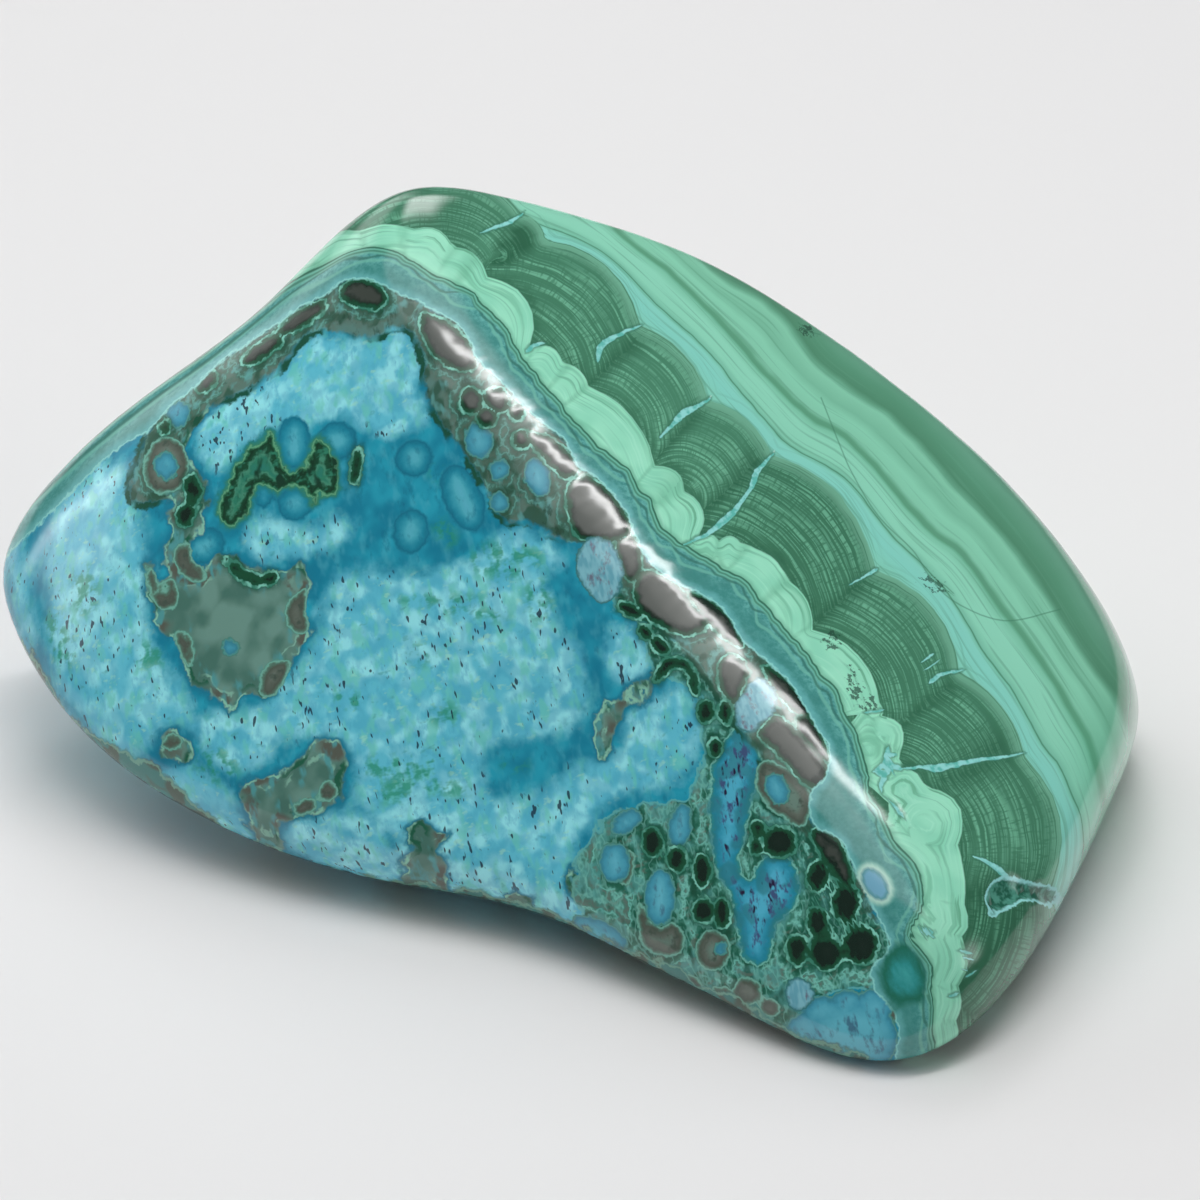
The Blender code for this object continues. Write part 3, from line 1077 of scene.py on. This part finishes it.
dark_island = blue.rough("dark_island", 6.0)
dark_island_colour = blue.by_steps(dark_island, [
    (-10, (22, 138, 166)), (-4, (36, 134, 138)), (-1.5, (56, 138, 108)), (-0.3, (104, 176, 136)),
    (1.5, (40, 108, 74)), (3.5, (16, 56, 38)), (7, (24, 78, 54)), (9.5, (72, 148, 120)),
    (12, (46, 128, 104)), (20, (42, 134, 128)),
])
dark_island_colour.lay((48, 132, 104), blue.fade(flecks, 0.05, 0.4), blue.fade(dark_island, 0, 3))
dark_island_colour.lay((18, 60, 44), blue.fade(strands, 0.05, 0.35), blue.fade(dark_island, -3, 2))
stone_colour.lay(dark_island_colour, blue.fade(dark_island, -9, -3))

# Strands and dark beads of the network at the low right
net = blue.rough("net", 5.0)
beads = blue.rough("beads", 8.0)
net_colour = blue.by_steps(beads, [
    (-30, (94, 168, 162)), (-23, (86, 154, 146)), (-20.5, (118, 192, 180)), (-18, (74, 140, 126)),
    (-14, (98, 122, 112)), (-12, (76, 138, 124)), (-10.5, (122, 202, 188)), (-8.5, (62, 132, 114)),
    (-6, (38, 108, 88)), (-3, (26, 90, 70)),
])
net_colour.lay((88, 164, 158), blue.fade(mottling, 0.0, 0.35), 0.7)
net_colour.lay((22, 76, 56), blue.fade(strands, 0.14, 0.4), 0.7)
net_colour.lay((104, 118, 108), blue.fade(flecks, -0.1, -0.4), 0.6)
net_colour.lay((124, 200, 186), blue.band(strands, 0.0, 0.015, 0.09), 0.45)
stone_colour.lay(net_colour, blue.fade(net, -3, 1))
stone_colour.lay((116, 194, 180), blue.band(net, -2.5, 0.4, 2.0), 0.6)
lens = blue.rough("lens", 6.0)
lens_colour = blue.by_steps(lens, [
    (-6, (42, 124, 104)), (-3.5, (122, 198, 184)), (-2, (50, 142, 138)), (1, (34, 140, 166)),
    (6, (52, 158, 186)), (14, (82, 184, 212)),
])
lens_colour.lay((46, 128, 140), blue.fade(mottling, 0.0, 0.35), 0.7)
lens_colour.lay((66, 88, 130), blue.fade(fibres, 0.0, 0.25), blue.fade(lens, 2, 8))
lens_colour.lay((38, 30, 62), blue.fade(speckle, 0.18, 0.4), blue.fade(lens, 4, 9))
stone_colour.lay(lens_colour, blue.fade(lens, -6, -4))

# Beads on the ridge, near black with light rims, and cells of other colours among them
ridge = blue.rough("ridge", 6.0)
ridge_ground = blue.by_steps(beads, [
    (-24, (94, 136, 128)), (-14, (94, 122, 110)), (-11, (76, 122, 108)), (-9.5, (102, 166, 154)),
    (-7.5, (72, 120, 106)), (-5, (80, 110, 96)), (-2, (58, 104, 88)),
])
ridge_ground.lay((44, 88, 70), blue.fade(mottling, 0.0, -0.35), 0.85)
ridge_ground.lay((102, 172, 168), blue.fade(strands, 0.08, 0.4), 0.75)
ridge_ground.lay((32, 66, 50), blue.fade(fibres, 0.12, 0.42), 0.6)
stone_colour.lay(ridge_ground, blue.fade(ridge, -3, 3))
stone_colour.lay((22, 84, 64), blue.band(ridge, -2.5, 1.5, 3.0), blue.fade(cloud, -0.2, 0.2))
brown_bead = blue.rough("brown_bead", 4.0)
brown_colour = blue.by_steps(brown_bead, [
    (-4, (62, 126, 112)), (-2, (120, 188, 170)), (-0.3, (88, 126, 110)), (2, (84, 94, 84)),
    (7, (102, 114, 104)), (12, (110, 140, 128)),
])
brown_colour.lay((74, 90, 80), blue.fade(blue.wobble, 0.0, 0.4), blue.fade(brown_bead, 0, 3))
stone_colour.lay(brown_colour, blue.fade(brown_bead, -4, -2.5))
blue_cell = blue.rough("blue_cell", 4.5)
blue_cell_colour = blue.by_steps(blue_cell, [
    (-4, (44, 108, 96)), (-2, (86, 158, 150)), (-0.3, (58, 138, 158)), (3, (70, 160, 184)),
    (9, (88, 178, 198)), (16, (100, 190, 208)),
])
blue_cell_colour.lay((70, 122, 146), blue.fade(fibres, 0.0, 0.4), blue.fade(blue_cell, 3, 8))
stone_colour.lay(blue_cell_colour, blue.fade(blue_cell, -4, -2.5))
dark_bead = blue.rough("dark_bead", 4.5)
bead_rim = blue.lay((60, 136, 114), (132, 210, 192), blue.fade(strands, -0.15, 0.25))
dark_bead_and_sheen = blue.lay((40, 108, 86), bead_rim, blue.band(dark_bead, -1.8, 0.5, 1.3))
dark_bead_and_sheen.lay((22, 82, 56), blue.fade(dark_bead, -1.2, 0.4))
dark_bead_and_sheen.lay((12, 38, 28), blue.fade(dark_bead, 0.8, 5))
dark_bead_and_sheen.lay((24, 44, 36), blue.fade(dark_bead, 6, 14), blue.fade(mottling, -0.2, 0.3))
# On the ridge the bead cores turn grey: painted sheen over the near black beads
dark_bead_and_sheen.lay((64, 72, 66), blue.fade(dark_bead, 2, 9), blue.fade(ridge, 2, 8))
stone_colour.lay((20, 80, 62), blue.fade(dark_bead, -9, -3), 0.5)
stone_colour.lay(dark_bead_and_sheen, blue.fade(dark_bead, -4.5, -2.8))
mauve_cell = blue.rough("mauve_cell", 5.0)
mauve_colour = blue.lay((104, 172, 190), (132, 196, 208), blue.fade(speckle, -0.3, 0.3))
mauve_colour.lay((112, 100, 120), blue.fade(fibres, 0.08, 0.4), 0.8)
mauve_colour = blue.lay((58, 124, 126), mauve_colour, blue.fade(mauve_cell, -1, 2.5))
stone_colour.lay(mauve_colour, blue.fade(mauve_cell, -2.5, -0.5))
# Along the bottom outline, where the face turns under, a darker grey-green rim with a pale wavy line: partly
# the stone's own rim, partly painted shade
foot = blue.rough("foot", 6.0)
foot_rim_and_shade = blue.lay((78, 98, 84), (64, 132, 126), blue.fade(mottling, -0.15, 0.2))
foot_rim_and_shade.lay((124, 178, 156), blue.band(foot, 8, 0.4, 1.8), 0.8)
stone_colour.lay(foot_rim_and_shade, blue.fade(foot, 13, 8))
seam = blue.rough("seam", 4.0)
seam_colour, _ = place_seam(blue, seam)
polish(blue, blue.lay(stone_colour, seam_colour, blue.fade(seam, -1.2, 1.2)))

# Malachite: mint lobes, dark fans with fine lines, then even bands
green = start_finish("polished malachite")
growth = green.mark("growth")
way = green.mark("way")
lobe = green.mark("lobe")
lobe_way = green.mark("lobe_way")
fan = green.mark("fan")
fan_way = green.mark("fan_way")
cloud = green.mark("cloud")
seam_near = green.mark("seam_near")
seam_colour, mottle = place_seam(green, green.rough("seam", 4.0))
mint = green.lay((158, 232, 202), (144, 222, 192), green.fade(cloud, -0.5, 0.5))
mint_lines = green.layers(lobe, lobe_way, 6.5, 130)
mint.lay((108, 180, 148), green.fade(mint_lines, 0.12, 0.5), green.fade(lobe, -34, -3))
mint.lay((120, 196, 164), green.fade(green.layers(lobe, lobe_way, 16, 160, shift=5.0), 0.1, 0.5), 0.7)
mint.lay((174, 240, 214), green.fade(mint_lines, -0.15, -0.5), 0.4)
mint.lay((112, 186, 154), green.fade(green.mark("lobe_meeting"), 4, 0), 0.45)
mint.lay((92, 164, 134), green.fade(seam_near, 7, 0), 0.45)
fan_tone = green.mark("fan_tone")
fan_lines = green.layers(fan, fan_way, 4.4, 120)
fan_beat = green.layers(fan, fan_way, 17, 200, shift=9.0)
fan_fibres = green.layers(fan_way, fan, 7, 13, shift=3.0)
dark_fan = green.lay((40, 98, 71), (78, 142, 113), fan_tone)
light_fan = green.lay((88, 158, 127), (122, 193, 162), fan_tone)
fans = green.lay(dark_fan, light_fan, green.fade(fan_lines, -0.25, 0.4), green.fade(fan_beat, -0.6, 0.2))
fans.lay(dark_fan, green.fade(fan_fibres, -0.05, 0.45), 0.75)
fans.lay((124, 190, 162), green.fade(fan, -16, -1), 0.7)
fans.lay((66, 126, 98), green.fade(fan_lines, 0.05, 0.4), green.fade(fan, -20, -6), 0.8)
meeting = green.times(green.fade(green.mark("fan_meeting"), 16, 0), green.fade(fan, -2, -24))
lobe_foot = green.fade(green.bent(lobe, 8.0, green.wobble), 13, 0)
fan_shade = green.math("MAXIMUM", meeting, green.times(lobe_foot, 0.8))
fans.lay((40, 96, 70), fan_shade, 0.6)
bands = green.by_steps(green.bent(growth, 2.0, cloud), [
    (150, (132, 210, 188)), (172, (134, 214, 199)), (184, (136, 214, 198)), (187.5, (124, 200, 176)),
    (189, (70, 136, 106)), (190.5, (123, 197, 170)), (200, (142, 216, 189)), (222, (144, 218, 191)),
    (233, (127, 201, 172)), (238, (93, 161, 129)), (242, (95, 163, 131)), (247, (134, 206, 176)),
    (258, (138, 212, 182)), (268, (121, 191, 161)), (282, (134, 206, 176)), (288, (98, 163, 134)),
    (292, (81, 142, 112)), (304, (89, 153, 123)), (318, (104, 167, 140)), (330, (89, 151, 125)),
    (350, (83, 146, 120)),
])
bands.lay((96, 160, 132), green.fade(green.layers(growth, way, 9, 160, 2), 0.1, 0.45), 0.5)
bands.lay((98, 166, 140), green.fade(fan_lines, 0.0, 0.3), green.fade(fan, 14, 3), 0.45)
bands.lay((88, 186, 146), green.fade(way, 1220, 1330), green.fade(growth, 180, 230), 0.35)
malachite = green.lay(bands, fans, green.fade(fan, 1.0, -1.0))
malachite.lay(mint, green.fade(lobe, 0.8, -0.8))
dendrite = green.bent(green.mark("dendrite"), 20.0, mottle)
malachite.lay((38, 74, 60), green.fade(dendrite, -1.5, 1.5), 0.8)
crack = green.band(green.mark("crack_side"), 0.0, 0.2, 1.0)
malachite.lay((70, 130, 104), crack, green.fade(green.mark("crack_near"), 7, 4), 0.55)
stone_colour = green.lay(seam_colour, malachite, green.fade(seam_near, -0.8, 0.8))

# Clefts between the fans, lined with pale blue chrysocolla, and the small open pocket
cleft_side = green.math("ABSOLUTE", green.rough("cleft_side", 2.0))
cleft = green.math("ADD", cleft_side, green.mark("cleft_over"))
cleft_near = green.fade(green.mark("cleft_near"), 9, 6)
stone_colour.lay((58, 120, 96), green.fade(cleft, 3, 0.5), cleft_near, 0.6)
cleft_colour = green.lay((96, 190, 178), (148, 220, 216), green.fade(green.wobble, -0.3, 0.2))
stone_colour.lay(cleft_colour, green.fade(cleft, 0.5, -0.7), cleft_near)
pocket = green.rough("pocket", 4.0)
pocket_colour = green.lay((24, 92, 72), (78, 150, 132), green.fade(green.wobble, -0.2, 0.3))
pocket_colour = green.lay((146, 214, 212), pocket_colour, green.fade(pocket, 1.0, 3.5))
stone_colour.lay(pocket_colour, green.fade(pocket, -1.5, 0))
polish(green, stone_colour)

# The malachite finish starts halfway across the seam, where both finishes show the same teal
SEAM_MIDDLE = 7
corners = np.empty(len(surface.loops), np.int32)
surface.loops.foreach_get("vertex_index", corners)
face_seam = marks["seam"][corners.reshape(-1, 4)].min(axis=1)
surface.polygons.foreach_set("material_index", (face_seam > SEAM_MIDDLE).astype(np.int32))

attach(stone, "root")
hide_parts("polished_stone")

# The studio
# A pale table under an overhead softbox with a bright core, and a key light behind at the left.
TABLE_HALF_SIDE = 3
TABLE_SHADE = (0.8, 0.8, 0.805, 1)
ROOM_LIGHT = 0.13
table_mesh = bpy.data.meshes.new("table")
table = bpy.data.objects.new("table", table_mesh)
shape = bmesh.new()
bmesh.ops.create_grid(shape, x_segments=8, y_segments=8, size=TABLE_HALF_SIDE)
shape.to_mesh(table_mesh)
shape.free()
bpy.context.scene.collection.objects.link(table)
table_paint = bpy.data.materials.new("pale table")
table_paint.use_nodes = True
table_shader = table_paint.node_tree.nodes.new("ShaderNodeBsdfDiffuse")
table_shader.inputs["Color"].default_value = TABLE_SHADE
table_output = table_paint.node_tree.nodes["Material Output"]
table_paint.node_tree.links.new(table_shader.outputs["BSDF"], table_output.inputs["Surface"])
table_mesh.materials.append(table_paint)


def softbox(name, place, size, aim, radiance, soft, spin=0, tint=(1, 1, 1)):
    """A rectangular lamp, in metres, whose light falls off towards its edges over these shares of it."""
    lamp = bpy.data.lights.new(name, "AREA")
    lamp.shape = "RECTANGLE"
    lamp.size, lamp.size_y = size
    lamp.energy = radiance * math.pi * size[0] * size[1]
    lamp.color = tint
    lamp.use_nodes = True
    cloth = Palette(lamp.node_tree)
    split = cloth.nodes.new("ShaderNodeSeparateXYZ")
    cloth.put(split.inputs["Vector"], cloth.nodes.new("ShaderNodeNewGeometry").outputs["Parametric"])
    falls = [
        cloth.fade(cloth.math("ABSOLUTE", cloth.math("SUBTRACT", split.outputs[axis], 0.5)), 0.5, 0.5 - share)
        for axis, share in zip("XY", soft)
    ]
    cloth.put(cloth.nodes["Emission"].inputs["Strength"], cloth.times(*falls))
    holder = bpy.data.objects.new(name, lamp)
    bpy.context.scene.collection.objects.link(holder)
    holder.location = place
    turned = Vector(aim).to_track_quat("-Z", "Y").to_matrix() @ Matrix.Rotation(math.radians(spin), 3, "Z")
    holder.rotation_euler = turned.to_euler()
    holder.visible_camera = False


# The lamps overhead hang at different heights, so that none hides another in a reflection
DOWN = (0, 0, -1)
softbox("overhead", (-0.11, -0.126, 0.62), (0.8, 0.66), DOWN, 1.25, (0.1, 0.06), 28)
softbox("overhead_glow", (0.06, -0.04, 0.61), (0.72, 0.34), DOWN, 1.6, (0.3, 0.5), 48, (1, 0.97, 0.95))
softbox("overhead_core", (0.10, 0.04, 0.60), (0.66, 0.046), DOWN, 14, (0.15, 0.15), 49)
softbox("back_key", (-0.2, 0.46, 0.58), (0.36, 0.36), (0.2, -0.46, -0.57), 5.5, (0.3, 0.3))
softbox("back_left", (-0.72, 0.5, 0.42), (1.0, 0.6), (0.72, -0.5, -0.36), 1.4, (0.3, 0.3))
softbox("left_fill", (-0.88, -0.18, 0.29), (0.8, 0.45), (0.88, 0.18, -0.25), 1.8, (0.4, 0.4))
softbox("left_strip", (-0.9, -0.02, 0.24), (0.15, 0.46), (0.9, 0.02, -0.2), 2.4, (0.4, 0.3))
softbox("right_fill", (0.9, 0.0, 0.42), (0.7, 0.5), (-0.9, 0.0, -0.38), 2.4, (0.4, 0.4))

world = bpy.data.worlds.new("studio")
bpy.context.scene.world = world
world.use_nodes = True
room = world.node_tree.nodes["Background"]
room.inputs["Color"].default_value = (1, 1, 1, 1)
room.inputs["Strength"].default_value = ROOM_LIGHT
bpy.context.scene.view_settings.view_transform = "Standard"
